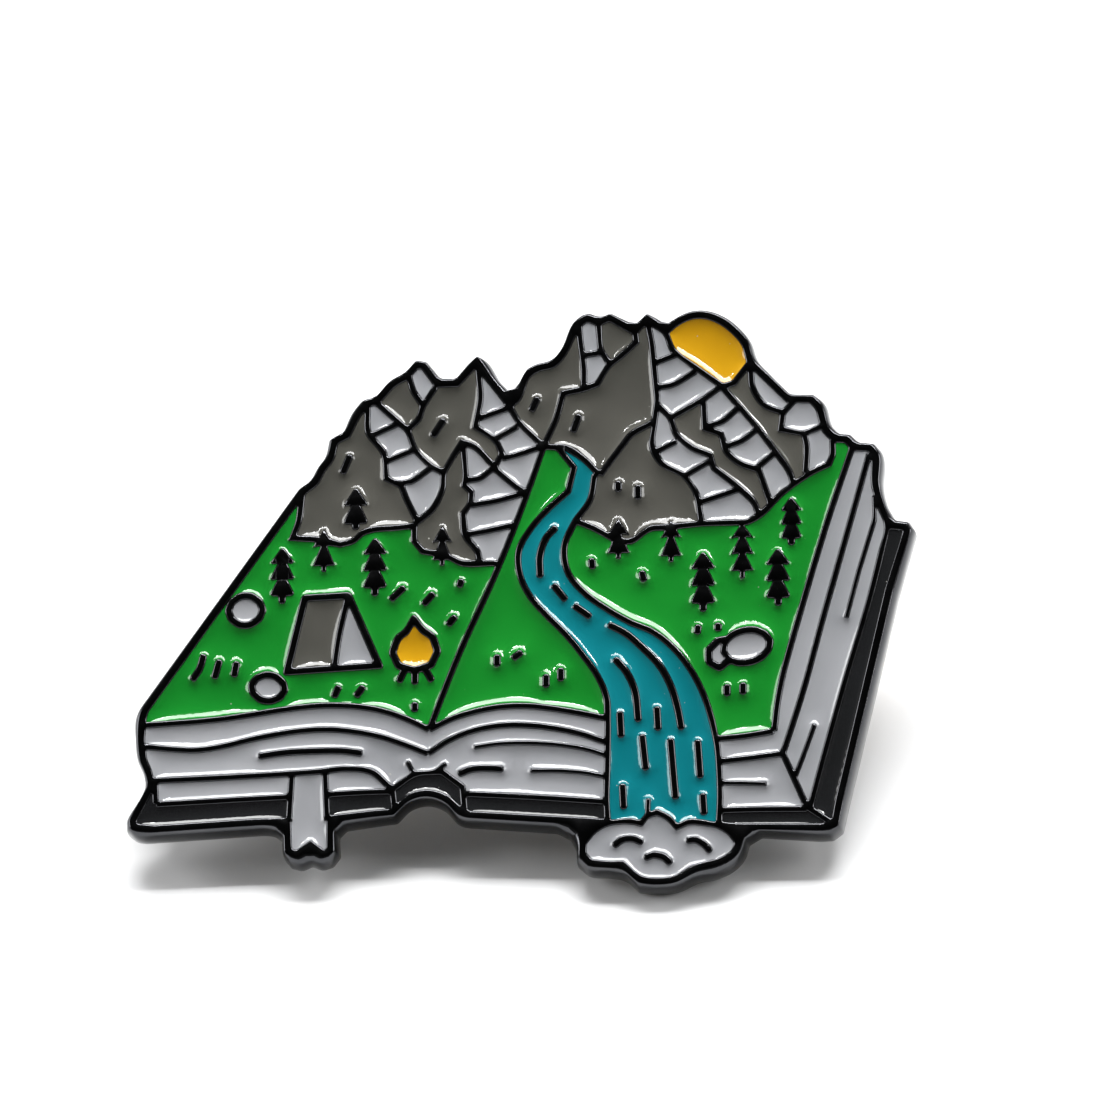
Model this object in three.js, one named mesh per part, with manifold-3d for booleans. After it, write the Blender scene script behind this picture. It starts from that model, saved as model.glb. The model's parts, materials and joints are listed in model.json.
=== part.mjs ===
// Soft-enamel lapel pin: an open book whose pages carry a mountain valley, with a river that falls off the
// page edge into a cloud of spray. The plate leans on its two butterfly clutches and on its lower edge.
//
// The picture is drawn in the plate's own millimetres: +X right, +Y towards the mountain tops, and Z out of
// the front, with the back of the plate at Z = 0. The finished pin is then leaned back and stood on Z = 0.
import * as THREE from 'three';
import { mergeVertices } from 'three/addons/utils/BufferGeometryUtils.js';
import Module from 'manifold-3d';

const wasm = await Module();
wasm.setup();

// ---- driving dimensions, millimetres -------------------------------------------------------------------

const pinWidth = 32; // across the covers of the book
const pinHeight = 24.5; // from the spray cloud to the highest peak
const drawnWidth = 32; // the size that the picture's points are drawn at
const drawnHeight = 24.5;

const plateThickness = 1.2; // from the back to the tops of the raised lines
const cellDepth = 0.4; // from the tops of the raised lines to the floor of a cell
const enamelDrop = 0.1; // how far the hardened enamel lies below the raised lines
const enamelGap = 0.02; // clearance between the enamel and the metal round it
const lineWidth = 0.28; // raised lines between two cells
const tickWidth = 0.22; // loose marks: grass, ripples, page dashes
const curveStep = 1.1; // length of one straight piece of a curved line

const postRadius = 0.6;
const postLength = 7.4; // from the back of the plate to the tip
const postTip = 1.1; // length of the pointed end
const grooveDepth = 0.14; // the groove that the clutch jaws snap into
const grooveWidth = 0.5;
const headRadius = 1.8; // flat soldered head of the post
const headThickness = 0.35;
const postY = 3.2; // height of both posts on the drawn picture
const postX = [-4.3, 8.5];

const capRadius = 4.2; // flange of the clutch cap
const capSheet = 0.35; // thickness of its brass sheet
const cupRadius = 2.6; // the cup that holds the spring
const cupHeight = 2.1;
const seatGap = 0.04; // the cap stops this far from the head of the post
const boreGap = 0.15; // clearance between the cap's hole and the post
const wingSheet = 0.35;
const wingWidth = 4.4;
const wingGap = 0.12; // the wings lie this far off the rim of the cup, so that they clear it when squeezed
const wingSpan = 5.7; // from the post to the tip of a wing
const wingReach = 6.6; // from the back of the plate to the tip of a wing
const jawGap = 0.1; // between a jaw and the post
const jawWidth = 2.0; // the arm inside the rim of the cup is narrower than the wing

const roundSides = 16; // facets of the turned pieces

// ---- colours -------------------------------------------------------------------------------------------

const blackNickel = { color: 0x15161a, metalness: 1, roughness: 0.22 };
const nickel = { color: 0xb9bbbd, metalness: 1, roughness: 0.3 };
const springBrass = { color: 0xc9a860, metalness: 1, roughness: 0.32 };
const enamel = (color) => ({ color, metalness: 0, roughness: 0.15 });
const green = enamel(0x12842a);
const teal = enamel(0x0a7f86);
const rock = enamel(0x64645f);
const snow = enamel(0xb4b7bd);
const amber = enamel(0xd9a212);
const cover = enamel(0x25272a);

// ---- solids --------------------------------------------------------------------------------------------

// A closed three.js geometry as a solid that can be joined and cut.
function solid(geometry) {
  const bare = geometry.clone();
  bare.deleteAttribute('normal');
  bare.deleteAttribute('uv');
  const merged = mergeVertices(bare, 1e-5);
  return new wasm.Manifold(new wasm.Mesh({
    numProp: 3,
    vertProperties: new Float32Array(merged.attributes.position.array),
    triVerts: new Uint32Array(merged.index.array),
  }));
}

function geometryOf(vertices, triangles) {
  const geometry = new THREE.BufferGeometry();
  geometry.setAttribute('position', new THREE.BufferAttribute(new Float32Array(vertices), 3));
  geometry.setIndex(Array.from(triangles));
  return geometry;
}

function solidGeometry(body) {
  const { vertProperties, triVerts } = body.getMesh();
  return geometryOf(vertProperties, triVerts);
}

// A straight-sided slab of an outline, between two heights.
function slab(shape, low, high) {
  const geometry = new THREE.ExtrudeGeometry(shape, { depth: high - low, bevelEnabled: false });
  return geometry.translate(0, 0, low);
}

// The separate bodies of a solid, each as its vertices and triangles.
function looseBodies(body) {
  const { vertProperties, triVerts } = body.getMesh();
  const parent = Array.from({ length: vertProperties.length / 3 }, (_, i) => i);
  const root = (i) => {
    while (parent[i] !== i) {
      parent[i] = parent[parent[i]];
      i = parent[i];
    }
    return i;
  };
  for (let t = 0; t < triVerts.length; t += 3) {
    parent[root(triVerts[t + 1])] = root(triVerts[t]);
    parent[root(triVerts[t + 2])] = root(triVerts[t]);
  }
  const bodies = new Map();
  for (let t = 0; t < triVerts.length; t += 3) {
    const key = root(triVerts[t]);
    if (!bodies.has(key)) bodies.set(key, { vertices: [], triangles: [], renamed: new Map() });
    const own = bodies.get(key);
    for (const v of triVerts.slice(t, t + 3)) {
      if (!own.renamed.has(v)) {
        own.renamed.set(v, own.renamed.size);
        own.vertices.push(...vertProperties.slice(3 * v, 3 * v + 3));
      }
      own.triangles.push(own.renamed.get(v));
    }
  }
  return [...bodies.values()];
}

// Whether a body lies over a point of the picture: the point is in one of its triangles seen from above.
function coversPoint(body, [px, py]) {
  const { vertices, triangles } = body;
  const side = (a, b) => (vertices[3 * b] - vertices[3 * a]) * (py - vertices[3 * a + 1])
    - (vertices[3 * b + 1] - vertices[3 * a + 1]) * (px - vertices[3 * a]);
  for (let t = 0; t < triangles.length; t += 3) {
    const [a, b, c] = triangles.slice(t, t + 3);
    if (side(a, b) > 0 && side(b, c) > 0 && side(c, a) > 0) return true;
  }
  return false;
}

// ---- drawing -------------------------------------------------------------------------------------------

// A drawn point at the pin's real size.
const place = ([x, y]) => new THREE.Vector2(x * pinWidth / drawnWidth, y * pinHeight / drawnHeight);
const straight = (points) => points.map(place);

// A smooth line through the drawn points, in pieces of about curveStep.
function curved(points) {
  const curve = new THREE.SplineCurve(points.map(place));
  return curve.getSpacedPoints(Math.max(2, Math.round(curve.getLength() / curveStep)));
}

// The point beside a corner, half a width to the left of the way from one point through it to the next.
function besideCorner(before, corner, after, half) {
  const inward = corner.clone().sub(before ?? corner.clone().multiplyScalar(2).sub(after)).normalize();
  const onward = (after ?? corner.clone().multiplyScalar(2).sub(before)).clone().sub(corner).normalize();
  const across = new THREE.Vector2(-inward.y - onward.y, inward.x + onward.x).normalize();
  const stretch = Math.min(2, 1 / Math.max(0.2, across.dot(new THREE.Vector2(-onward.y, onward.x))));
  return corner.clone().addScaledVector(across, half * stretch);
}

// An open line of a given width, square at both ends.
function strokeShape(line, width) {
  const beside = (half) => line.map((p, i) => besideCorner(line[i - 1], p, line[i + 1], half));
  return new THREE.Shape([...beside(-width / 2), ...beside(width / 2).reverse()]);
}

// A closed line moved sideways: outwards for a line drawn clockwise and a positive distance.
function movedLoop(loop, distance) {
  const n = loop.length;
  return loop.map((p, i) => besideCorner(loop[(i + n - 1) % n], p, loop[(i + 1) % n], distance));
}

// A closed line of a given width.
function ringShape(loop, width) {
  const shape = new THREE.Shape(movedLoop(loop, width / 2));
  shape.holes.push(new THREE.Path(movedLoop(loop, -width / 2).reverse()));
  return shape;
}

function oval([x, y], radiusX, radiusY, tilt, sides) {
  return Array.from({ length: sides }, (_, i) => {
    const turn = -2 * Math.PI * i / sides;
    const [a, b] = [radiusX * Math.cos(turn), radiusY * Math.sin(turn)];
    return [x + a * Math.cos(tilt) - b * Math.sin(tilt), y + a * Math.sin(tilt) + b * Math.cos(tilt)];
  });
}

// A conifer: tiers of boughs, each as wide as the tree, then a short trunk.
function treeShape({ at: [x, top], tiers, height, spread = 0.48 }) {
  const tierHeight = height * 0.86 / tiers;
  const [neck, trunk] = [0.13, 0.11];
  const right = [[0, 0]];
  for (let tier = 1; tier <= tiers; tier += 1) {
    right.push([spread, -tier * tierHeight]);
    if (tier < tiers) right.push([neck, -tier * tierHeight + 0.06]);
  }
  right.push([trunk, -tiers * tierHeight], [trunk, -height]);
  const left = right.slice(1).reverse().map(([a, b]) => [-a, b]);
  return new THREE.Shape([...right, ...left].map(([a, b]) => place([x + a, top + b])));
}

// ---- the picture ---------------------------------------------------------------------------------------

// The smooth outer edge of the metal, clockwise from the left corner of the meadow.
const plateEdge = [
  [-15.8, -4.5], [-15.55, -3.95], [-9.25, 4.95], [-8.75, 5.35], [-8.4, 5.95], [-8.1, 6.4], [-7.95, 7.1],
  [-7.35, 7.45], [-7.0, 8.25], [-6.5, 8.8], [-6.0, 8.95], [-5.45, 9.55], [-4.8, 9.95], [-4.3, 10.45],
  [-3.85, 10.35], [-3.3, 9.65], [-2.7, 9.6], [-2.2, 10.2], [-1.8, 10.5], [-1.4, 10.3], [-0.8, 9.35],
  [-0.45, 9.0], [-0.1, 9.3], [0.2, 9.9], [0.6, 10.1], [1.3, 10.3], [1.6, 10.65], [2.1, 11.8], [2.45, 12.15],
  [2.85, 12.2], [3.3, 12.05], [3.75, 12.15], [4.25, 11.9], [4.7, 11.7], [5.2, 12.1], [5.6, 11.9],
  [6.0, 11.65], [6.4, 11.9], [7.0, 12.15], [7.65, 12.15], [8.4, 11.85], [9.0, 11.35], [9.45, 10.75],
  [9.7, 10.0], [10.3, 9.25], [11.05, 8.45], [12.0, 8.4], [12.45, 8.0], [12.75, 7.05], [13.05, 6.7],
  [13.5, 6.65], [13.85, 6.3], [14.5, 6.2], [14.8, 5.75], [14.8, 4.4], [15.0, 3.5], [15.3, 2.95],
  [15.85, 2.85], [16.1, 2.45], [15.35, -0.2], [13.25, -8.9], [13.0, -10.0], [12.6, -10.3], [11.9, -10.3],
  [9.7, -10.1], [9.2, -10.4], [9.05, -10.9], [8.7, -11.35], [7.95, -11.75], [7.15, -11.9], [6.35, -12.25],
  [5.55, -12.35], [4.75, -12.25], [4.2, -11.75], [3.6, -11.6], [2.75, -11.5], [2.25, -11.1], [2.2, -10.5],
  [1.95, -9.95], [1.3, -9.65], [-1.8, -9.35], [-2.55, -9.2], [-3.15, -8.6], [-3.8, -8.35], [-4.5, -8.5],
  [-5.1, -9.05], [-6.0, -9.15], [-7.15, -9.3], [-7.45, -9.6], [-7.4, -10.4], [-7.7, -10.8],
  [-8.15, -10.9], [-8.55, -10.75], [-8.95, -10.9], [-9.4, -10.8], [-9.7, -10.4], [-9.75, -9.7],
  [-10.1, -9.45], [-11.0, -9.4], [-14.8, -9.55], [-15.7, -9.5], [-16.1, -9.2], [-16.1, -8.8],
  [-15.4, -7.6], [-15.4, -7.0], [-15.7, -6.2], [-15.8, -5.3],
];

// The middle of the raised rim that closes the picture, clockwise from the same corner.
const rim = [
  [-15.4, -4.6], [-15.25, -4.15], [-8.95, 4.8], [-8.4, 5.25], [-8.1, 5.8], [-7.8, 6.2], [-7.6, 6.95],
  [-7.1, 7.2], [-6.65, 8.1], [-6.35, 8.5], [-5.9, 8.6], [-5.2, 9.35], [-4.65, 9.65], [-4.25, 10.1],
  [-4.0, 10.05], [-3.45, 9.25], [-2.6, 9.25], [-2.1, 9.8], [-1.8, 10.15], [-1.5, 9.65], [-0.65, 8.5],
  [-0.45, 8.2], [-0.1, 8.55], [0.3, 9.5], [0.65, 9.75], [1.35, 9.95], [1.8, 10.45], [2.35, 11.6],
  [2.75, 11.85], [3.2, 11.65], [3.65, 11.85], [4.7, 11.2], [5.2, 11.75], [5.95, 11.15], [6.35, 11.5],
  [7.0, 11.8], [7.6, 11.8], [8.2, 11.55], [8.7, 11.15], [9.15, 10.6], [9.4, 9.75], [10.0, 9.1],
  [10.95, 8.1], [11.9, 8.05], [12.15, 7.75], [12.45, 6.75], [12.8, 6.35], [13.3, 6.3], [13.6, 5.95],
  [14.25, 5.9], [14.45, 5.6], [14.45, 4.3], [14.65, 3.5], [14.95, 2.6], [15.65, 2.5], [15.7, 2.3],
  [14.95, -0.1], [12.9, -8.8], [12.7, -9.85], [12.2, -9.95], [9.0, -9.85], [8.85, -10.45],
  [8.65, -10.9], [8.2, -11.2], [7.1, -11.5], [6.2, -11.95], [5.55, -12.0], [4.9, -11.9],
  [4.15, -11.25], [3.6, -11.25], [2.85, -11.15], [2.55, -10.8], [2.6, -10.2],
  [2.5, -9.4], [-2.0, -9.0], [-2.4, -8.85], [-3.0, -8.3], [-3.8, -8.05], [-4.5, -8.2],
  [-5.2, -8.8], [-6.1, -8.85], [-7.75, -9.0], [-7.75, -10.35], [-8.0, -10.45], [-8.5, -10.05],
  [-9.1, -10.45], [-9.4, -10.3], [-9.45, -9.05], [-11.0, -9.05], [-14.8, -9.2], [-15.7, -9.1],
  [-15.75, -8.85], [-15.0, -7.4], [-15.15, -6.8], [-15.35, -6.3], [-15.45, -5.5],
];

// Raised walls with sharp turns: the ridges and snow lines of the mountains, and the bookmark.
const sharpWalls = [
  // left range: the first mountain and its snow
  [[-8.95, 4.8], [-9.1, 3.6], [-9.35, 2.9], [-8.3, 2.8], [-7.8, 2.7], [-7.4, 2.55], [-6.85, 2.7],
    [-6.4, 3.05], [-5.0, 3.2], [-4.35, 3.25]],
  [[-6.3, 8.45], [-6.25, 7.3], [-5.6, 6.35], [-5.5, 5.3], [-4.9, 5.0], [-4.65, 4.35], [-4.2, 3.4]],
  [[-5.9, 8.55], [-4.65, 7.35], [-4.3, 6.45], [-3.65, 5.75], [-3.2, 5.5]],
  [[-6.15, 7.15], [-5.0, 7.65]],
  [[-5.5, 6.05], [-4.35, 6.5]],
  [[-5.2, 5.1], [-4.5, 5.15], [-3.65, 5.7]],
  // second mountain, behind it
  [[-4.6, 9.65], [-4.4, 9.0], [-4.0, 8.35], [-3.5, 9.15]],
  [[-4.0, 8.35], [-4.2, 7.8], [-4.6, 7.4]],
  // third mountain and its snow
  [[-1.75, 10.05], [-1.65, 8.6], [-1.85, 7.4], [-1.0, 6.75], [-0.75, 6.2], [-1.1, 5.6]],
  [[-1.7, 7.75], [-0.5, 8.15]],
  [[-1.05, 6.85], [-0.1, 7.35]],
  [[-0.75, 6.0], [-0.1, 6.15], [0.85, 6.45]],
  [[-0.45, 8.2], [-0.05, 7.5], [0.95, 6.45]],
  [[-1.1, 5.6], [-0.2, 4.8], [0.35, 4.4]],
  // fourth mountain, in front, and its snow
  [[-4.35, 3.3], [-3.6, 3.95], [-3.2, 4.8], [-3.15, 5.45], [-2.8, 6.1], [-2.4, 6.75], [-1.9, 6.55],
    [-1.1, 5.7]],
  [[-2.35, 6.7], [-2.25, 5.2], [-2.3, 4.9], [-2.0, 4.6], [-2.05, 4.15], [-2.35, 3.7], [-2.25, 2.75],
    [-1.75, 2.05], [-1.65, 1.6]],
  [[-2.25, 5.1], [-1.65, 5.2], [-1.1, 5.6]],
  [[-2.05, 4.05], [-1.0, 4.2], [0.2, 4.5]],
  [[-2.25, 2.8], [-1.3, 2.95], [-0.25, 3.15]],
  [[-4.35, 3.3], [-4.35, 2.6], [-4.0, 2.15], [-3.2, 2.0], [-2.4, 1.6], [-0.95, 1.55]],
  // right range: the left peak, its snow, and the slope down to the gutter
  [[0.95, 6.45], [1.45, 7.6], [1.75, 8.7], [2.55, 8.85], [3.15, 9.05], [3.6, 9.8], [4.15, 10.25],
    [4.75, 10.8], [4.7, 11.2]],
  [[2.4, 11.6], [2.45, 11.0], [2.6, 9.7], [2.6, 8.85]],
  [[3.2, 11.6], [3.3, 10.5], [3.65, 9.9]],
  [[2.55, 10.3], [3.35, 10.4]],
  // the tall peak and its snow
  [[5.2, 11.75], [5.4, 10.6], [5.6, 8.4], [5.5, 7.4]],
  [[5.95, 11.15], [6.25, 10.4], [7.2, 9.6], [8.3, 8.75]],
  [[5.45, 9.85], [6.4, 10.2]],
  [[5.55, 8.8], [6.2, 8.9], [7.2, 9.45]],
  [[5.6, 8.1], [6.15, 7.5], [7.5, 8.25], [8.2, 8.75]],
  // the dark gully and the snow on both sides of it
  [[6.1, 7.55], [6.4, 6.75], [7.0, 6.2], [7.75, 5.85], [7.9, 5.3], [8.9, 4.45], [9.55, 3.75],
    [9.75, 3.2]],
  [[7.5, 8.25], [7.55, 7.0], [8.2, 6.75], [8.45, 5.95], [9.0, 5.45], [9.75, 5.15], [10.2, 3.75]],
  [[7.6, 7.05], [8.3, 7.3], [8.95, 7.85]],
  [[8.45, 6.2], [9.1, 6.45], [9.7, 6.9]],
  [[9.6, 5.2], [10.4, 5.85]],
  // the right slope, its snow, and the edge under the sun
  [[8.25, 8.75], [8.95, 7.9], [9.7, 6.95], [10.4, 5.95], [11.0, 5.0], [11.15, 4.5]],
  [[8.25, 8.75], [8.75, 8.9], [9.4, 9.75]],
  [[9.4, 9.7], [9.5, 8.7], [10.0, 7.9], [10.75, 7.55], [10.65, 6.85], [11.6, 6.65], [11.7, 6.1],
    [11.65, 4.95]],
  [[10.75, 7.55], [11.25, 8.1]],
  [[11.6, 6.65], [12.4, 6.95]],
  // the front peak and its snow
  [[3.25, 5.15], [4.4, 6.7], [5.5, 7.4], [5.4, 6.3], [5.75, 5.6], [6.7, 5.0], [7.2, 4.2], [7.4, 3.0]],
  [[5.6, 6.1], [6.4, 6.5]],
  [[6.7, 5.0], [7.75, 5.6]],
  [[7.3, 3.85], [8.9, 4.35]],
  // the foot of the right range
  [[2.35, 3.2], [3.0, 2.9], [4.0, 2.3], [4.5, 2.3], [5.3, 2.8], [7.4, 2.95], [9.2, 2.95], [9.8, 3.25],
    [10.7, 4.15], [11.85, 4.95], [12.6, 5.3], [12.75, 5.7], [12.75, 6.3]],
  // bookmark sides, page ends and cover ends
  [[-9.3, -7.05], [-9.4, -9.1]],
  [[-7.95, -7.05], [-7.85, -9.1]],
  [[-14.9, -7.2], [-14.85, -8.2]],
  [[-5.2, -7.85], [-5.1, -8.75]],
  [[10.65, -6.85], [11.6, -9.1], [12.65, -9.85]],
  // top of the spray cloud, under the foot of the waterfall
  [[2.6, -10.3], [3.0, -9.85], [3.55, -9.55], [4.5, -9.5], [4.9, -9.6], [5.15, -9.3], [5.55, -9.15],
    [6.0, -9.4], [6.35, -9.8], [6.85, -9.6], [7.4, -9.65], [8.05, -9.8], [8.5, -10.1], [8.8, -10.5]],
  [[2.5, -9.4], [3.55, -9.5]],
  [[8.05, -9.75], [9.0, -9.85]],
];

// Corners that are solid metal up to the tops of the lines.
const solidCorners = [
  [[2.5, -9.35], [3.55, -9.5], [3.0, -9.85], [2.6, -10.3]],
  [[8.05, -9.75], [9.0, -9.85], [8.8, -10.5], [8.5, -10.1]],
];

// Raised walls that run in smooth curves: the river banks, the gutter and the page lines.
const smoothWalls = [
  // river banks, from the pass down to the waterfall's foot
  [[1.55, 6.35], [2.2, 5.5], [1.95, 4.5], [0.75, 3.4], [-0.1, 1.85], [0.4, 0.1], [2.05, -1.8],
    [3.4, -3.9], [3.55, -6.0], [3.5, -8.6], [3.55, -9.6]],
  [[3.05, 5.2], [2.8, 4.0], [1.85, 2.5], [2.1, 0.75], [3.9, -0.8], [5.8, -1.85], [7.2, -3.7],
    [7.95, -6.15], [8.1, -8.6], [8.05, -9.75]],
  // the pass, and the gutter between the two pages
  [[0.95, 6.45], [2.1, 6.3], [2.7, 5.75], [3.25, 5.15]],
  [[0.95, 6.45], [0.05, 3.85], [-1.1, 0.9], [-2.5, -2.25], [-3.7, -5.4]],
  // upper edge of the pages
  [[-15.35, -4.85], [-12.35, -4.7], [-8.25, -4.25], [-5.6, -4.55], [-3.7, -5.4]],
  [[-3.7, -5.4], [-2.3, -4.8], [-0.35, -4.5], [1.5, -4.7], [3.5, -5.15]],
  [[8.0, -6.15], [9.3, -6.05], [10.3, -5.9]],
  // lower edge of the top page
  [[-15.3, -5.75], [-12.95, -5.95], [-10.3, -5.45], [-8.0, -5.25], [-5.8, -5.6], [-3.75, -6.4]],
  [[-3.75, -6.4], [-2.3, -5.6], [-0.35, -5.3], [1.9, -5.6], [3.5, -6.15]],
  [[8.1, -7.1], [9.3, -7.0], [10.65, -6.85]],
  // lower edge of the front pages, then the spine
  [[-15.0, -7.2], [-12.0, -7.15], [-8.75, -7.05], [-6.5, -6.95], [-5.65, -7.45], [-5.2, -7.85]],
  [[-5.2, -7.85], [-4.5, -7.35], [-3.65, -7.1], [-2.85, -7.35], [-2.2, -8.1], [-2.25, -8.9]],
  // covers
  [[-14.85, -8.2], [-11.5, -8.1], [-9.35, -8.05]],
  [[-7.9, -8.0], [-6.4, -7.95], [-5.2, -7.95]],
  [[-2.2, -8.15], [0.35, -8.35], [3.5, -8.65]],
  [[8.1, -9.15], [9.6, -9.15], [11.6, -9.2]],
  // the fore edge of the right page block
  [[13.55, 5.95], [12.5, 2.8], [11.4, -0.9], [10.6, -3.85], [10.3, -5.9]],
  [[14.25, 5.7], [13.5, 3.0], [12.3, -1.25], [11.5, -4.2], [10.65, -6.85]],
  [[14.95, 2.55], [14.2, -0.5], [13.2, -3.85], [12.3, -7.05], [11.75, -9.1]],
];

// Closed walls round the small things that stand on the meadows.
const campfire = [
  [-4.35, -0.75], [-4.0, -1.2], [-3.6, -1.5], [-3.4, -2.1], [-3.65, -2.65], [-4.3, -2.85], [-4.95, -2.65],
  [-5.2, -2.1], [-4.95, -1.5], [-4.65, -1.25],
];
const tent = [[-8.8, 0.3], [-7.05, 0.35], [-5.8, -2.6], [-9.5, -2.75]];
const closedWalls = [
  tent,
  campfire,
  oval([-11.25, -0.12], 0.68, 0.6, 0, 10),
  oval([-10.3, -3.43], 0.67, 0.52, -0.2, 10),
  oval([9.2, -2.3], 0.95, 0.65, 0.2, 12),
];

// Walls that close against those above.
const innerWalls = [
  [[-7.05, 0.35], [-7.4, -1.3], [-7.6, -2.7]],
  [[8.5, -2.0], [8.05, -2.05], [7.7, -2.4], [7.7, -2.9], [8.1, -3.15], [8.6, -2.75]],
];

// Loose raised marks, thinner than the walls.
const marks = [
  // page dashes
  [[-10.65, -6.3], [-9.6, -6.18], [-8.3, -6.15], [-7.2, -6.18], [-6.45, -6.3]],
  [[-1.9, -6.2], [-0.9, -6.08], [0.6, -6.1], [1.9, -6.25], [2.8, -6.45], [3.5, -6.7]],
  [[-2.5, -7.3], [-2.0, -7.12], [-1.25, -7.1], [-0.7, -7.15]],
  [[0.4, -7.25], [1.7, -7.3], [2.7, -7.42], [3.5, -7.6]],
  [[8.1, -8.0], [9.2, -8.05], [10.0, -8.1]],
  [[-4.6, -6.7], [-4.3, -7.3]],
  [[-3.0, -6.85], [-3.45, -7.15]],
  [[14.45, 3.9], [14.4, 2.75], [13.8, 0.8], [13.25, -1.25]],
  [[11.95, -5.65], [11.5, -6.9], [11.1, -7.95]],
  // ripples of the river and streaks of the fall
  [[1.45, 3.0], [1.05, 2.55], [0.8, 1.8], [0.8, 0.9]],
  [[1.35, 0.55], [1.85, -0.1]],
  [[2.2, -0.35], [2.85, -0.85]],
  [[3.6, -1.2], [4.3, -1.6], [5.0, -2.25], [5.7, -3.05], [6.15, -3.95], [6.4, -4.85], [6.55, -5.7]],
  [[3.85, -2.65], [4.3, -3.2], [4.65, -4.0], [4.8, -5.3]],
  [[4.05, -4.9], [4.1, -5.95]],
  [[5.55, -4.75], [5.6, -5.7]],
  [[4.95, -5.9], [5.1, -7.35]],
  [[6.1, -6.1], [6.3, -8.6]],
  [[7.2, -6.2], [7.3, -7.75]],
  [[7.4, -8.45], [7.45, -9.3]],
  [[4.15, -7.95], [4.2, -8.95]],
  [[5.2, -8.55], [5.15, -9.4]],
  // puffs of the spray cloud
  [[3.8, -10.5], [4.15, -10.25], [4.6, -10.23], [4.95, -10.4]],
  [[5.05, -11.05], [5.4, -10.93], [5.8, -11.0], [6.1, -11.3]],
  [[6.75, -10.38], [7.1, -10.32], [7.45, -10.55], [7.7, -10.85]],
  // logs of the campfire
  [[-4.7, -2.8], [-4.95, -3.35]],
  [[-4.3, -2.85], [-4.3, -3.45]],
  [[-3.9, -2.8], [-3.6, -3.35]],
  // grass
  [[-12.95, -1.95], [-13.1, -2.5], [-13.4, -3.0]],
  [[-12.3, -2.2], [-12.5, -2.95]],
  [[-11.6, -2.3], [-11.7, -2.9]],
  [[-7.4, -3.45], [-7.6, -3.9]],
  [[-6.4, -3.5], [-6.7, -3.9]],
  [[-4.3, -4.25], [-4.3, -4.6]],
  [[-4.75, 0.65], [-5.3, 0.15]],
  [[-3.55, 0.35], [-3.95, -0.1]],
  [[-2.65, -0.65], [-2.95, -1.0]],
  [[-2.4, 0.9], [-2.5, 0.6]],
  [[-0.95, -2.35], [-0.95, -2.8]],
  [[0.05, -2.25], [-0.3, -2.5]],
  [[1.05, -3.25], [1.05, -3.75]],
  [[1.65, -3.0], [1.65, -3.5]],
  [[2.9, 1.6], [2.95, 1.2]],
  [[4.95, 1.0], [5.05, 0.6]],
  [[7.25, -1.35], [7.2, -1.7]],
  [[8.05, -1.3], [8.05, -1.6]],
  [[8.4, -3.9], [8.4, -4.35]],
  [[9.05, -3.85], [9.05, -4.3]],
  // clefts in the rock
  [[-7.0, 6.35], [-7.3, 5.6]],
  [[-3.15, 7.75], [-3.6, 7.05]],
  [[0.7, 8.55], [0.45, 8.0]],
  [[2.4, 7.75], [2.15, 7.05]],
  [[4.0, 4.85], [4.0, 4.45]],
  [[4.8, 4.65], [4.8, 4.1]],
];

const trees = [
  { at: [-9.75, 2.5], tiers: 3, height: 2.35 },
  { at: [-8.05, 3.25], tiers: 2, height: 1.85 },
  { at: [-5.95, 2.8], tiers: 3, height: 2.45 },
  { at: [-6.75, 4.95], tiers: 2, height: 1.75 },
  { at: [-3.2, 3.25], tiers: 2, height: 1.75, spread: 0.42 },
  { at: [4.0, 3.3], tiers: 2, height: 1.75 },
  { at: [6.15, 3.15], tiers: 2, height: 1.8, spread: 0.44 },
  { at: [7.45, 1.75], tiers: 3, height: 2.5 },
  { at: [9.05, 2.95], tiers: 3, height: 2.4 },
  { at: [10.5, 1.8], tiers: 3, height: 2.4 },
  { at: [11.05, 3.95], tiers: 3, height: 2.0, spread: 0.4 },
];

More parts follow.
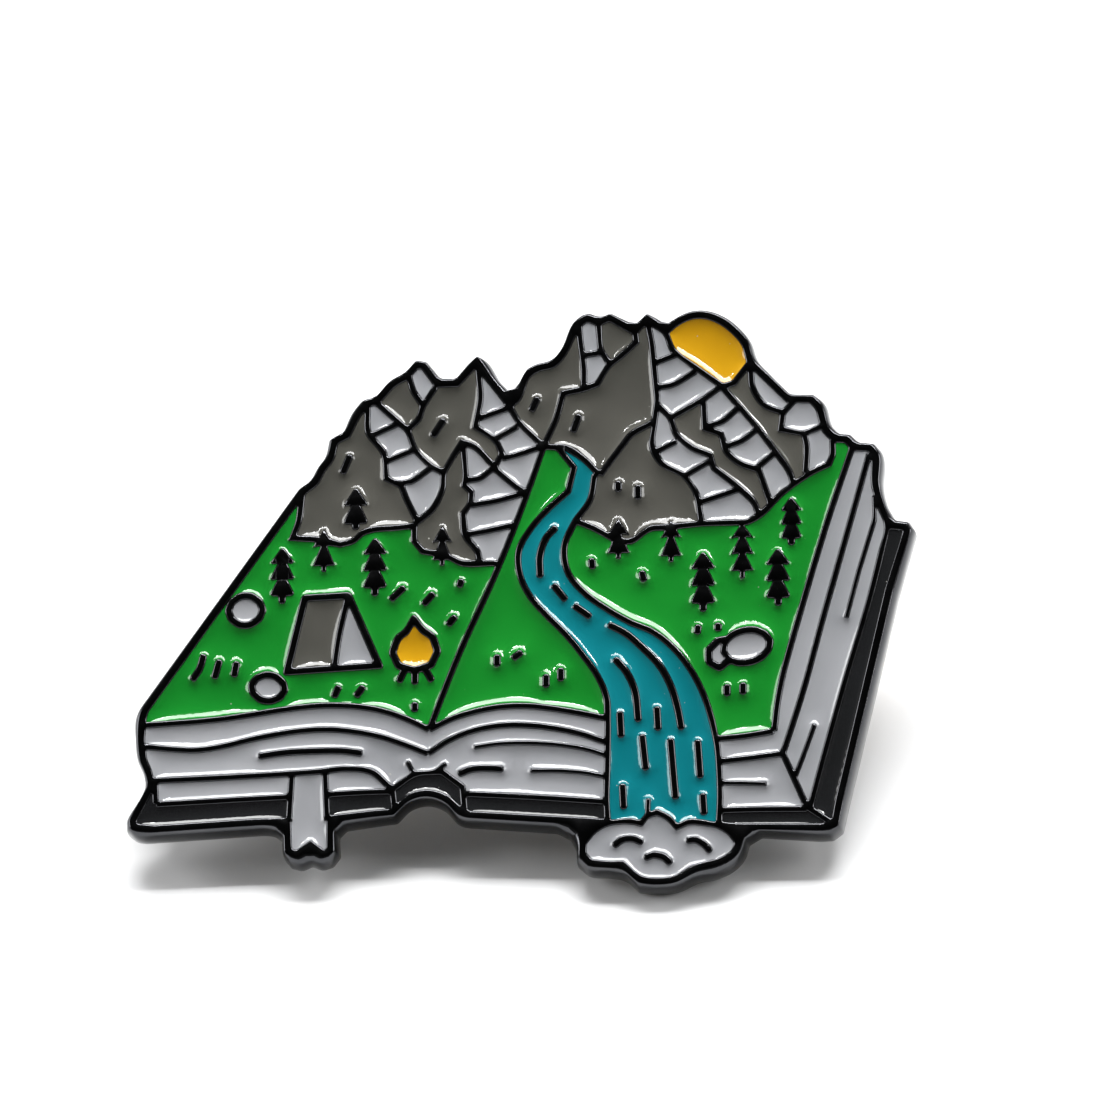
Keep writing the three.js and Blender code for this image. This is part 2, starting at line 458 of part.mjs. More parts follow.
// One enamel fill for each cell, named for what it shows, with a drawn point that lies in it.
const fills = [
  ['meadow_left_enamel', [-12.4, -1.2], green],
  ['meadow_middle_enamel', [0.6, -1.8], green],
  ['meadow_right_enamel', [6.0, 0.0], green],
  ['river_enamel', [4.5, -6.8], teal],
  ['sun_enamel', [8.0, 10.5], amber],
  ['campfire_enamel', [-4.3, -2.0], amber],
  ['tent_front_enamel', [-8.2, -1.3], rock],
  ['tent_side_enamel', [-6.9, -1.8], snow],
  ['stone_left_enamel', [-11.25, -0.1], snow],
  ['stone_front_enamel', [-10.3, -3.45], snow],
  ['stone_right_enamel', [9.2, -2.3], snow],
  ['top_page_enamel', [-8.0, -4.75], snow],
  ['front_pages_enamel', [-12.0, -6.5], snow],
  ['lower_pages_left_enamel', [-12.0, -7.65], snow],
  ['lower_pages_right_enamel', [-7.0, -7.5], snow],
  ['corner_pages_enamel', [10.0, -7.5], snow],
  ['fore_edge_outer_enamel', [12.6, -3.0], snow],
  ['fore_edge_inner_enamel', [11.6, -2.0], snow],
  ['ribbon_enamel', [-8.6, -8.5], snow],
  ['spine_enamel', [-3.7, -7.6], cover],
  ['cover_front_left_enamel', [-12.0, -8.6], cover],
  ['cover_front_ribbon_enamel', [-6.5, -8.4], cover],
  ['cover_front_right_enamel', [0.5, -8.7], cover],
  ['cover_front_corner_enamel', [9.8, -9.5], cover],
  ['cover_side_enamel', [13.2, -5.5], cover],
  ['spray_cloud_enamel', [5.5, -10.2], snow],
  ['left_range_rock_1_enamel', [-8.0, 4.0], rock],
  ['left_range_rock_2_enamel', [-5.0, 8.5], rock],
  ['left_range_rock_3_enamel', [-2.6, 8.2], rock],
  ['left_range_rock_4_enamel', [-2.8, 4.4], rock],
  ['right_range_rock_1_enamel', [1.3, 9.3], rock],
  ['right_range_rock_2_enamel', [4.0, 10.9], rock],
  ['right_range_rock_3_enamel', [3.6, 7.8], rock],
  ['right_range_rock_4_enamel', [5.4, 4.0], rock],
  ['right_range_rock_5_enamel', [8.9, 5.0], rock],
  ['right_range_rock_6_enamel', [10.0, 7.3], rock],
  ['left_range_snow_1_enamel', [-5.2, 6.9], snow],
  ['left_range_snow_2_enamel', [-4.6, 5.7], snow],
  ['left_range_snow_3_enamel', [-3.9, 4.8], snow],
  ['left_range_snow_4_enamel', [0.2, 5.6], snow],
  ['left_range_snow_5_enamel', [-1.0, 4.8], snow],
  ['left_range_snow_6_enamel', [-1.2, 3.6], snow],
  ['right_range_snow_1_enamel', [6.3, 9.5], snow],
  ['right_range_snow_2_enamel', [6.8, 8.6], snow],
  ['right_range_snow_3_enamel', [9.3, 5.9], snow],
  ['right_range_snow_4_enamel', [10.4, 4.8], snow],
  ['right_range_snow_5_enamel', [8.4, 3.6], snow],
  ['right_range_snow_6_enamel', [11.3, 7.4], snow],
  ['right_range_snow_7_enamel', [12.2, 5.9], snow],
  ['right_range_snow_8_enamel', [10.0, 8.5], snow],
  ['right_range_snow_9_enamel', [8.9, 7.0], snow],
];

// ---- the plate and its enamel --------------------------------------------------------------------------

const floorZ = plateThickness - cellDepth;
const sunk = 0.1; // the raised lines run this far into the floor, so that they join it

// All raised lines, each widened by a margin on both sides, between two heights.
function raisedLines(margin, low, high) {
  const wall = lineWidth + 2 * margin;
  const mark = tickWidth + 2 * margin;
  const shapes = [
    ringShape(straight(rim), wall),
    ...sharpWalls.map((line) => strokeShape(straight(line), wall)),
    ...innerWalls.map((line) => strokeShape(straight(line), wall)),
    ...smoothWalls.map((line) => strokeShape(curved(line), wall)),
    ...closedWalls.map((loop) => ringShape(straight(loop), wall)),
    ...solidCorners.map((loop) => new THREE.Shape(straight(loop))),
    ...marks.map((line) => strokeShape(straight(line), mark)),
    ...trees.map((tree) => {
      const outline = treeShape(tree).getPoints();
      return new THREE.Shape(movedLoop(outline, margin));
    }),
  ];
  return shapes.map((shape) => solid(slab(shape, low, high))).reduce((all, one) => all.add(one));
}

function plate() {
  const base = solid(slab(new THREE.Shape(straight(plateEdge)), 0, floorZ));
  return solidGeometry(base.add(raisedLines(0, floorZ - sunk, plateThickness)));
}

function enamelBodies() {
  const bottom = floorZ + enamelGap;
  const field = solid(slab(new THREE.Shape(straight(rim)), bottom, plateThickness - enamelDrop));
  const lines = raisedLines(enamelGap, bottom - sunk, plateThickness);
  return looseBodies(field.subtract(lines));
}

// ---- the back hardware ---------------------------------------------------------------------------------

// A turned solid about the Z axis. The profile is [radius, z] and starts and ends on the axis or on itself.
function turned(profile) {
  const points = profile.map(([radius, z]) => new THREE.Vector2(radius, z));
  return new THREE.LatheGeometry(points, roundSides).rotateX(Math.PI / 2);
}

function post() {
  const grooveAt = -(postLength - postTip - grooveWidth * 1.6);
  return turned([
    [0, -postLength],
    [postRadius, -(postLength - postTip)],
    [postRadius, grooveAt - grooveWidth / 2],
    [postRadius - grooveDepth, grooveAt],
    [postRadius, grooveAt + grooveWidth / 2],
    [postRadius, -headThickness],
    [headRadius, -headThickness],
    [headRadius, -enamelGap],
    [0, -enamelGap],
  ]);
}

const capFront = -(headThickness + seatGap); // the side of the cap that presses on the cloth
const cupEnd = capFront - capSheet - cupHeight;

function clutchCap() {
  const bore = postRadius + boreGap;
  const inner = cupRadius - capSheet;
  return turned([
    [bore, capFront - capSheet],
    [inner, capFront - capSheet],
    [inner, cupEnd],
    [cupRadius, cupEnd],
    [cupRadius, capFront - capSheet],
    [capRadius, capFront - capSheet],
    [capRadius, capFront],
    [bore, capFront],
    [bore, capFront - capSheet],
  ]);
}

// One wing of the clutch spring, on the +X side (side = 1) or the -X side (side = -1) of the post. Its jaw is
// a narrow arm beside the post; past the rim of the cup the strip widens and bends out to the finger tip.
function clutchWing(side) {
  const level = cupEnd - wingGap - wingSheet / 2;
  const tip = -wingReach + wingSheet / 2;
  const rise = tip - level;
  const strip = (line, width) => {
    const middle = line.map(([x, z]) => new THREE.Vector2(side * x, z));
    const beside = (sign) => middle.map((p, i) => besideCorner(middle[i - 1], p, middle[i + 1],
      sign * wingSheet / 2));
    const outline = new THREE.Shape([...beside(1), ...beside(-1).reverse()]);
    const sheet = new THREE.ExtrudeGeometry(outline, { depth: width, bevelEnabled: false });
    return solid(sheet.rotateX(Math.PI / 2).translate(0, width / 2, 0));
  };
  const jaw = strip([[postRadius + jawGap, level], [cupRadius + 0.2, level]], jawWidth);
  const wing = strip([
    [cupRadius, level],
    [cupRadius + 0.5, level + 0.1 * rise],
    [wingSpan - 1.5, level + 0.62 * rise],
    [wingSpan - 0.85, level + 0.95 * rise],
    [wingSpan, tip],
  ], wingWidth);
  return solidGeometry(jaw.add(wing));
}

// ---- assembly ------------------------------------------------------------------------------------------

function mesh(name, geometry, finish) {
  const made = new THREE.Mesh(geometry, new THREE.MeshStandardMaterial(finish));
  made.name = name;
  return made;
}

const pin = new THREE.Group();
pin.add(mesh('plate', plate(), blackNickel));

const bodies = enamelBodies();
for (const [name, seed, finish] of fills) {
  const point = place(seed);
  const body = bodies.find((one) => coversPoint(one, [point.x, point.y]));
  pin.add(mesh(name, geometryOf(body.vertices, body.triangles), finish));
}

['left', 'right'].forEach((hand, i) => {
  const station = place([postX[i], postY]);
  const nail = mesh(`post_${hand}`, post(), nickel);
  nail.position.set(station.x, station.y, 0);
  const clutch = new THREE.Group();
  clutch.position.set(station.x, station.y, 0);
  clutch.add(mesh(`clutch_${hand}_cap`, clutchCap(), springBrass));
  clutch.add(mesh(`clutch_${hand}_wing_inner`, clutchWing(hand === 'left' ? 1 : -1), springBrass));
  clutch.add(mesh(`clutch_${hand}_wing_outer`, clutchWing(hand === 'left' ? -1 : 1), springBrass));
  pin.add(nail, clutch);
});

// The pin leans back until the lower edge of the plate and the wing tips are level, and stands on Z = 0.
const lowestEdge = Math.min(...straight(plateEdge).map((p) => p.y));
const wingLowEdge = place([0, postY]).y - wingWidth / 2;
pin.rotation.x = Math.atan2(wingReach, wingLowEdge - lowestEdge);

const model = new THREE.Group();
model.add(pin);
const box = new THREE.Box3().setFromObject(model, true);
pin.position.set(-(box.min.x + box.max.x) / 2, -(box.min.y + box.max.y) / 2, -box.min.z);

export default model;
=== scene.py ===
import json
import math

import bpy
import numpy as np
from mathutils import Matrix, Vector
from mathutils.geometry import delaunay_2d_cdt


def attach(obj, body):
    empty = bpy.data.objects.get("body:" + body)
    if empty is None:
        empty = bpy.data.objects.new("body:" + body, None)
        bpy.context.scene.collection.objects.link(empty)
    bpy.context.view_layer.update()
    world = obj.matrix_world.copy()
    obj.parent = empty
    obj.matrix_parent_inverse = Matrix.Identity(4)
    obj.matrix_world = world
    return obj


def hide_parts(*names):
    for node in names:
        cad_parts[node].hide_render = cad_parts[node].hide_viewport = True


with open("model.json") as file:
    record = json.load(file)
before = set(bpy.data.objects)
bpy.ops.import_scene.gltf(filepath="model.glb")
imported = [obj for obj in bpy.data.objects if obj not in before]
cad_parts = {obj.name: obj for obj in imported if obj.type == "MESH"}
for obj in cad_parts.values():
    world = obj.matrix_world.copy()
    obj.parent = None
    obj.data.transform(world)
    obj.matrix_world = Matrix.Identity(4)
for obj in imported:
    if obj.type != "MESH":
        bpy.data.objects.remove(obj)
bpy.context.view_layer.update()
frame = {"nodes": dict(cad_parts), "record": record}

# ---- how the pin lies ---------------------------------------------------------------------------------------
# The pin leans back on its clutches. Its own axes are U along the book, V up the picture and W out of the face,
# and W is 0 on the flat back. Shapes below are in these axes, in millimetres.

MM = 0.001
resting_face = next(m for m in frame["record"]["mounts"] if m["name"] == "plate_back")
U_AXIS = np.array([1.0, 0.0, 0.0])
W_AXIS = -np.array(resting_face["axis"])
V_AXIS = np.cross(W_AXIS, U_AXIS)
AXES = np.array([U_AXIS, V_AXIS, W_AXIS])
# the mount lies this far along U and V from the middle of the picture
MOUNT_U, MOUNT_V = 12.95, -5.4
MIDDLE = np.array(resting_face["pos_m"]) - MM * (MOUNT_U * U_AXIS + MOUNT_V * V_AXIS)


def to_world(points):
    """Metres in the row's frame, from millimetres along the pin's own axes."""
    return MIDDLE + MM * np.asarray(points) @ AXES


def own_shape(node):
    """A CAD node's corners in the pin's own axes, each once, and its triangles."""
    mesh = frame["nodes"][node].data
    flat = np.empty(3 * len(mesh.vertices), "f")
    mesh.vertices.foreach_get("co", flat)
    local = (flat.reshape(-1, 3) - MIDDLE) @ AXES.T / MM
    corners, same = np.unique(np.round(local, 3), axis=0, return_inverse=True)
    mesh.calc_loop_triangles()
    triangles = np.empty(3 * len(mesh.loop_triangles), "i")
    mesh.loop_triangles.foreach_get("vertices", triangles)
    return corners, same.reshape(-1)[triangles].reshape(-1, 3)


def new_piece(name, points, faces, body, slot, materials, sharp=0.75):
    """A mesh object from points in the pin's axes, smooth but for creases over the sharp angle, riding a body."""
    mesh = bpy.data.meshes.new(name)
    mesh.from_pydata(to_world(points).tolist(), [], [list(map(int, f)) for f in faces])
    mesh.update()
    mesh.shade_smooth()
    mesh.set_sharp_from_angle(angle=sharp)
    for material in materials:
        mesh.materials.append(material)
    piece = bpy.data.objects.new(name, mesh)
    bpy.context.scene.collection.objects.link(piece)
    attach(piece, body)
    return piece


# ---- the struck metal plate -----------------------------------------------------------------------------------
# One piece of zinc alloy, struck with the picture's raised lines, tumbled until its outer edge is round, and
# plated in black nickel. The lines end in soft round shoulders; the enamel lies in the cells between them.

LINE_TOP = 1.2
CELL_FLOOR = 0.8
DOME = 0.085  # a line's top rounds off over this much, down and inwards
EDGE_LOW = 0.42  # the round outer shoulder runs down to here
BACK_ROUND = 0.12
CORNER_TURN = math.radians(34)  # a sharper turn of an outline is a real corner
CORNER_CUT = 0.075
CURVE_STEP = 0.11
STRAIGHT = 1.6  # a piece of an outline longer than this is a straight edge
MARK_CUT = 0.14  # the corners of the loose marks, such as the trees, are rounder
PLATED_OUT = 0.05  # the loose marks are this much fuller than they are cut, from striking and plating


def outlines(corners, triangles, level):
    """The closed outlines of the part of a solid that is flat at one level: edges that only one triangle has."""
    flat = triangles[(np.abs(corners[triangles][:, :, 2] - level) < 0.004).all(axis=1)]
    edges = np.vstack([flat[:, [0, 1]], flat[:, [1, 2]], flat[:, [2, 0]]])
    size = len(corners)
    one_way, other_way = edges[:, 0] * size + edges[:, 1], edges[:, 1] * size + edges[:, 0]
    onward = {}
    for a, b in edges[~np.isin(one_way, other_way)]:
        onward.setdefault(a, []).append(b)
    loops = []
    while onward:
        start = here = next(iter(onward))
        loop = []
        while here in onward:
            loop.append(here)
            ways = onward[here]
            there = ways.pop()
            if not ways:
                del onward[here]
            here = there
            if here == start:
                break
        loops.append(corners[loop][:, :2])
    return [loop for loop in loops if len(loop) > 2]


def area(loop):
    """The shoelace sum: positive for a loop drawn anticlockwise."""
    x, y = loop.T
    return 0.5 * float(np.sum(x * np.roll(y, -1) - np.roll(x, -1) * y))


def covered(points, loops):
    """Whether each point lies inside the loops: a line from it crosses them an odd number of times."""
    a = np.vstack(loops)
    b = np.vstack([np.roll(loop, -1, axis=0) for loop in loops])
    inside = np.zeros(len(points), bool)
    for k in range(0, len(points), 4000):
        x, y = points[k:k + 4000, 0, None], points[k:k + 4000, 1, None]
        spans = (a[:, 1] > y) != (b[:, 1] > y)
        rise = np.where(a[:, 1] == b[:, 1], 1.0, b[:, 1] - a[:, 1])
        inside[k:k + 4000] = (spans & (x < a[:, 0] + (y - a[:, 1]) * (b[:, 0] - a[:, 0]) / rise)).sum(axis=1) % 2 == 1
    return inside


def reach(points, loops, margin=0.6):
    """The distance from each point to the nearest edge of the loops, and the nearest spot on it."""
    a = np.vstack(loops)
    b = np.vstack([np.roll(loop, -1, axis=0) for loop in loops])
    low, high = points.min(axis=0) - margin, points.max(axis=0) + margin
    near = (np.maximum(a, b) >= low).all(axis=1) & (np.minimum(a, b) <= high).all(axis=1)
    if not near.any():
        return np.full(len(points), 9.0), points.copy()
    a, b = a[near], b[near]
    along = b - a
    length2 = np.maximum((along ** 2).sum(axis=1), 1e-12)
    distance, spot = np.empty(len(points)), np.empty_like(points)
    for k in range(0, len(points), 1500):
        p = points[k:k + 1500, None, :]
        t = np.clip(((p - a) * along).sum(axis=2) / length2, 0, 1)
        foot = a + t[..., None] * along
        d = np.sqrt(((p - foot) ** 2).sum(axis=2))
        best = d.argmin(axis=1)
        row = np.arange(len(best))
        distance[k:k + 1500], spot[k:k + 1500] = d[row, best], foot[row, best]
    return distance, spot


def eased(loop, most_cut=CORNER_CUT):
    """A faceted outline made smooth: each piece is a cubic that follows the turn at its ends, a long piece stays
    straight, and each real corner is cut back a little and rounded by a parabola."""
    loop = loop[np.hypot(*(loop - np.roll(loop, 1, axis=0)).T) > 0.004]
    out = np.roll(loop, -1, axis=0) - loop
    length = np.hypot(*out.T)
    heading = out / length[:, None]
    before = np.roll(heading, 1, axis=0)
    turn = np.abs(np.arctan2(before[:, 0] * heading[:, 1] - before[:, 1] * heading[:, 0],
                             (before * heading).sum(axis=1)))
    long = length > STRAIGHT
    long_before = np.roll(long, 1)
    corner = (turn > CORNER_TURN) | (long & long_before & (turn > 0.03))
    tangent = before + heading
    tangent /= np.maximum(np.hypot(*tangent.T), 1e-9)[:, None]
    tangent = np.where((long & ~long_before)[:, None], heading, tangent)
    tangent = np.where((long_before & ~long)[:, None], before, tangent)
    cut = np.where(corner, np.minimum(most_cut, 0.42 * np.minimum(length, np.roll(length, 1))), 0.0)
    leave, arrive = loop + cut[:, None] * heading, loop - cut[:, None] * before
    start_way = np.where(corner[:, None], heading, tangent)
    end_way = np.roll(np.where(corner[:, None], before, tangent), -1, axis=0)
    p0, p1 = leave, np.roll(arrive, -1, axis=0)
    span = np.hypot(*(p1 - p0).T)
    bends = np.hypot(*(start_way - end_way).T) > 0.03
    steps = np.clip(np.ceil(span / np.where(bends, CURVE_STEP, 0.2)), 1, 400).astype(int)
    which = np.repeat(np.arange(len(loop)), steps)
    t = ((np.arange(len(which)) - np.repeat(np.cumsum(steps) - steps, steps)) / steps[which])[:, None]
    g = span[which, None]
    curve = ((2 * t ** 3 - 3 * t ** 2 + 1) * p0[which] + (t ** 3 - 2 * t ** 2 + t) * g * start_way[which]
             + (3 * t ** 2 - 2 * t ** 3) * p1[which] + (t ** 3 - t ** 2) * g * end_way[which])
    s = np.array([0.0, 0.33, 0.67])[None, :, None]
    rounded = (1 - s) ** 2 * arrive[:, None] + 2 * s * (1 - s) * loop[:, None] + s ** 2 * leave[:, None]
    at = np.concatenate([which + 0.5 + 0.4 * t[:, 0],
                         np.repeat(np.arange(len(loop)), 3) + np.tile([0, 0.1, 0.2], len(loop))])
    keep = np.concatenate([np.ones(len(which), bool), np.repeat(corner, 3)])
    points = np.vstack([curve, rounded.reshape(-1, 2)])[keep][np.argsort(at[keep], kind="stable")]
    return points[np.hypot(*(points - np.roll(points, 1, axis=0)).T) > 0.006]


def leftward(loop):
    """The unit direction to the left of a closed line at each of its points."""
    way = np.roll(loop, -1, axis=0) - np.roll(loop, 1, axis=0)
    way /= np.maximum(np.hypot(*way.T), 1e-9)[:, None]
    return np.stack([-way[:, 1], way[:, 0]], axis=1)


def joined(loops, inner):
    """Triangles over the region between the loops, with the inner points as extra corners. Returns the corners
    (loops first, in order) and the triangles that lie in the region, anticlockwise."""
    points = np.vstack([*loops, inner]) if len(inner) else np.vstack(loops)
    starts = np.cumsum([0] + [len(loop) for loop in loops])
    edges = [(int(a + i), int(a + (i + 1) % (b - a))) for a, b in zip(starts, starts[1:]) for i in range(b - a)]
    verts, _, faces, origin, _, _ = delaunay_2d_cdt([Vector(p) for p in points.tolist()], edges, [], 0, 1e-6, True)
    met = np.array([o[0] if o else -1 for o in origin])
    fresh = np.flatnonzero(met < 0)
    corners = np.vstack([points, np.array([verts[i][:] for i in fresh]).reshape(-1, 2)])
    met[fresh] = len(points) + np.arange(len(fresh))
    triangles = met[np.array(faces)]
    a, b, c = (corners[triangles[:, i]] for i in range(3))
    twice = (b[:, 0] - a[:, 0]) * (c[:, 1] - a[:, 1]) - (b[:, 1] - a[:, 1]) * (c[:, 0] - a[:, 0])
    triangles = np.where((twice < 0)[:, None], triangles[:, ::-1], triangles)
    return corners, triangles[covered((a + b + c) / 3, loops) & (np.abs(twice) > 1e-9)]


plate_corners, plate_triangles = own_shape("plate")
raised = outlines(plate_corners, plate_triangles, LINE_TOP)
outer_edge = max(outlines(plate_corners, plate_triangles, 0.0), key=lambda loop: abs(area(loop)))
outer_edge = eased(outer_edge if area(outer_edge) > 0 else outer_edge[::-1])
raised = [loop for loop in raised if abs(area(loop)) > 0.012]
widest = max(area(loop) for loop in raised)
raised = [eased(loop, MARK_CUT if 0 < area(loop) < widest else CORNER_CUT) for loop in raised]
rim = max(raised, key=area)
holes = [loop for loop in raised if area(loop) < 0]
islands = [loop - PLATED_OUT * leftward(loop) for loop in raised if area(loop) > 0 and loop is not rim]
# an island, such as a tree or a blade of grass, stands in the smallest cell round it
home = {}
for i, island in enumerate(islands):
    round_it = [k for k, hole in enumerate(holes) if covered(island[:1], [hole])[0]]
    home.setdefault(min(round_it, key=lambda k: abs(area(holes[k]))), []).append(i)
cells = [[hole, *(islands[i] for i in home.get(k, []))] for k, hole in enumerate(holes)]


def within(outer, loops):
    """The loops that lie inside an outer line."""
    return [loop for loop in loops if covered(loop[:1], [outer])[0]]


def dome(distance):
    """The drop of a line's top at a distance from its side: a quarter circle of radius DOME."""
    near = np.clip(distance / DOME, 0, 1)
    return DOME * (1 - np.sqrt(1 - (1 - near) ** 2))


points, faces = [], []
count = 0


def put(new_points, new_faces):
    """Adds corners and the faces between them to the plate, each quad as two triangles."""
    global count
    points.append(np.asarray(new_points, float))
    new_faces = np.asarray(new_faces) + count
    faces.append(new_faces[:, :3])
    if new_faces.shape[1] == 4:
        faces.append(new_faces[:, [0, 2, 3]])
    count += len(new_points)


def welded(points, faces):
    """One corner for all that lie in the same place, and the triangles that still have three."""
    corners, same = np.unique(np.round(points, 4), axis=0, return_inverse=True)
    a, b, c = same.reshape(-1)[faces].T
    return corners, np.stack([a, b, c], axis=1)[(a != b) & (b != c) & (c != a)]


def band(rows):
    """The faces of a closed strip between rows of equal length, given from the upper row to the lower row, for
    a line with the metal on its left."""
    n = len(rows[0])
    i = np.arange(n)
    j = (i + 1) % n
    strips = [np.stack([k * n + i, (k + 1) * n + i, (k + 1) * n + j, k * n + j], axis=1)
              for k in range(len(rows) - 1)]
    return np.vstack(rows), np.vstack(strips)


def level(loop, height):
    """A flat line at a height."""
    return np.column_stack([loop, np.full(len(loop), height)])


# the shoulder: a quarter ellipse from the outer edge up to the nearest spot of the flat rim
ridge = np.round(reach(outer_edge, [rim], margin=3)[1], 3)
put(*band([np.column_stack([outer_edge + share * (ridge - outer_edge), np.full(
    len(ridge), EDGE_LOW + (LINE_TOP - EDGE_LOW) * math.sqrt(1 - (1 - share) ** 2))])
    for share in (1, 0.9, 0.76, 0.62, 0.48, 0.35, 0.24, 0.15, 0.08, 0.025, 0)]))
ridge = ridge[np.hypot(*(ridge - np.roll(ridge, 1, axis=0)).T) > 1e-6]

# the tops: one run of metal for the joined lines, and one for each loose mark
metals = [(ridge, [loop for loop in holes
                   if not any(covered(loop[:1], [island])[0] for island in islands)])]
metals += [(island, within(island, holes)) for island in islands]
for outer, inner_loops in metals:
    loops = [outer, *inner_loops]
    rows = []
    walls = inner_loops if outer is ridge else loops
    for loop in walls:
        side = leftward(loop)
        for depth in (0.012, 0.036, 0.07):
            row = loop + depth * side
            clear, _ = reach(row, walls)
            rows.append(row[clear > 0.88 * depth])
    inner = np.vstack(rows)
    inner = inner[covered(inner, loops)]
    top, triangles = joined(loops, inner)
    put(np.column_stack([top, LINE_TOP - dome(reach(top, walls)[0])]), triangles)
    for loop in walls:
        put(*band([level(loop, LINE_TOP - DOME), level(loop, CELL_FLOOR)]))
for cell in cells:
    loops = [loop[::-1] for loop in cell]
    floor, triangles = joined(loops, np.empty((0, 2)))
    put(level(floor, CELL_FLOOR), triangles)
# the side runs down from the shoulder and turns under by a quarter circle to the flat back
inward = leftward(outer_edge)
turned = np.linspace(0, math.pi / 2, 4)
side_rows = [level(outer_edge, EDGE_LOW)] + [
    level(outer_edge + BACK_ROUND * (1 - math.cos(a)) * inward, BACK_ROUND * (1 - math.sin(a))) for a in turned]
put(*band(side_rows))
back_line = outer_edge + BACK_ROUND * inward
back, triangles = joined([back_line], np.empty((0, 2)))
put(level(back, 0.0), triangles[:, ::-1])


def shader(name, colour, metallic, roughness, **sockets):
    """A Principled material with its plain values set on the shader's own sockets."""
    material = bpy.data.materials.new(name)
    material.use_nodes = True
    nodes, links = material.node_tree.nodes, material.node_tree.links
    surface = nodes["Principled BSDF"]
    surface.inputs["Base Color"].default_value = (*colour, 1)
    surface.inputs["Metallic"].default_value = metallic
    surface.inputs["Roughness"].default_value = roughness
    for socket, value in sockets.items():
        surface.inputs[socket.replace("_", " ")].default_value = value
    place = nodes.new("ShaderNodeTexCoord").outputs["Object"]
    return material, nodes, links, surface, place


def noise(nodes, links, place, scale, detail=3.0):
    """A noise pattern, with its scale in cycles per metre."""
    pattern = nodes.new("ShaderNodeTexNoise")
    pattern.inputs["Scale"].default_value = scale
    pattern.inputs["Detail"].default_value = detail
    links.new(place, pattern.inputs["Vector"])
    return pattern.outputs["Fac"]


def ramp(nodes, links, factor, low, high, value_low, value_high):
    """A value that runs from value_low to value_high as the factor goes from low to high."""
    stretch = nodes.new("ShaderNodeMapRange")
    for socket, value in zip(("From Min", "From Max", "To Min", "To Max"), (low, high, value_low, value_high)):
        stretch.inputs[socket].default_value = value
    links.new(factor, stretch.inputs["Value"])
    return stretch.outputs["Result"]


def blend(nodes, links, factor, first, second):
    """A colour between two, by a factor."""
    mix = nodes.new("ShaderNodeMix")
    mix.data_type = "RGBA"
    mix.inputs["A"].default_value = (*first, 1)
    mix.inputs["B"].default_value = (*second, 1)
    links.new(factor, mix.inputs["Factor"])
    return mix.outputs["Result"]


def bump(nodes, links, surface, height, strength, depth):
    """A fine relief of the surface, its depth in metres."""
    relief = nodes.new("ShaderNodeBump")
    relief.inputs["Strength"].default_value = strength
    relief.inputs["Distance"].default_value = depth
    links.new(height, relief.inputs["Height"])
    links.new(relief.outputs["Normal"], surface.inputs["Normal"])


def plated(name, bright, worn, roughness, grain):
    """Plated metal: the tone clouds a little, the gloss varies from thumbing, and a fine grain is left in it."""
    material, nodes, links, surface, place = shader(name, bright, 1.0, roughness)
    clouds = noise(nodes, links, place, 420)
    links.new(blend(nodes, links, ramp(nodes, links, clouds, 0.35, 0.65, 0, 1), bright, worn),
              surface.inputs["Base Color"])
    links.new(ramp(nodes, links, noise(nodes, links, place, 1500), 0.3, 0.7, 0.75 * roughness, 1.35 * roughness),
              surface.inputs["Roughness"])
    bump(nodes, links, surface, noise(nodes, links, place, 9000, 4), grain, 0.00002)
    return material


black_nickel = plated("black nickel", (0.07, 0.071, 0.075), (0.052, 0.053, 0.057), 0.13, 0.1)
plate_piece = new_piece("struck_plate", *welded(np.vstack(points), np.vstack(faces)), "badge", "black_nickel",
                        [black_nickel])
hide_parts("plate")

# ---- the enamel fills -----------------------------------------------------------------------------------------
# Liquid enamel is dropped into each cell and baked. It shrinks as it hardens, so it sinks in the middle of the
# cell and stays up where it clings to the metal: every line and every loose mark has a meniscus round it.

WETTED = 1.14  # the enamel clings to the metal up to here
SUNK = 0.92  # and would sink to here in an endless cell
CLING = 0.34  # the meniscus dies away over about this distance
FILL_FLOOR = CELL_FLOOR + 0.02
MOUNTAIN_FOOT = -1.0  # all the snow lies above this, and the one pale cell below it without a name is a stone


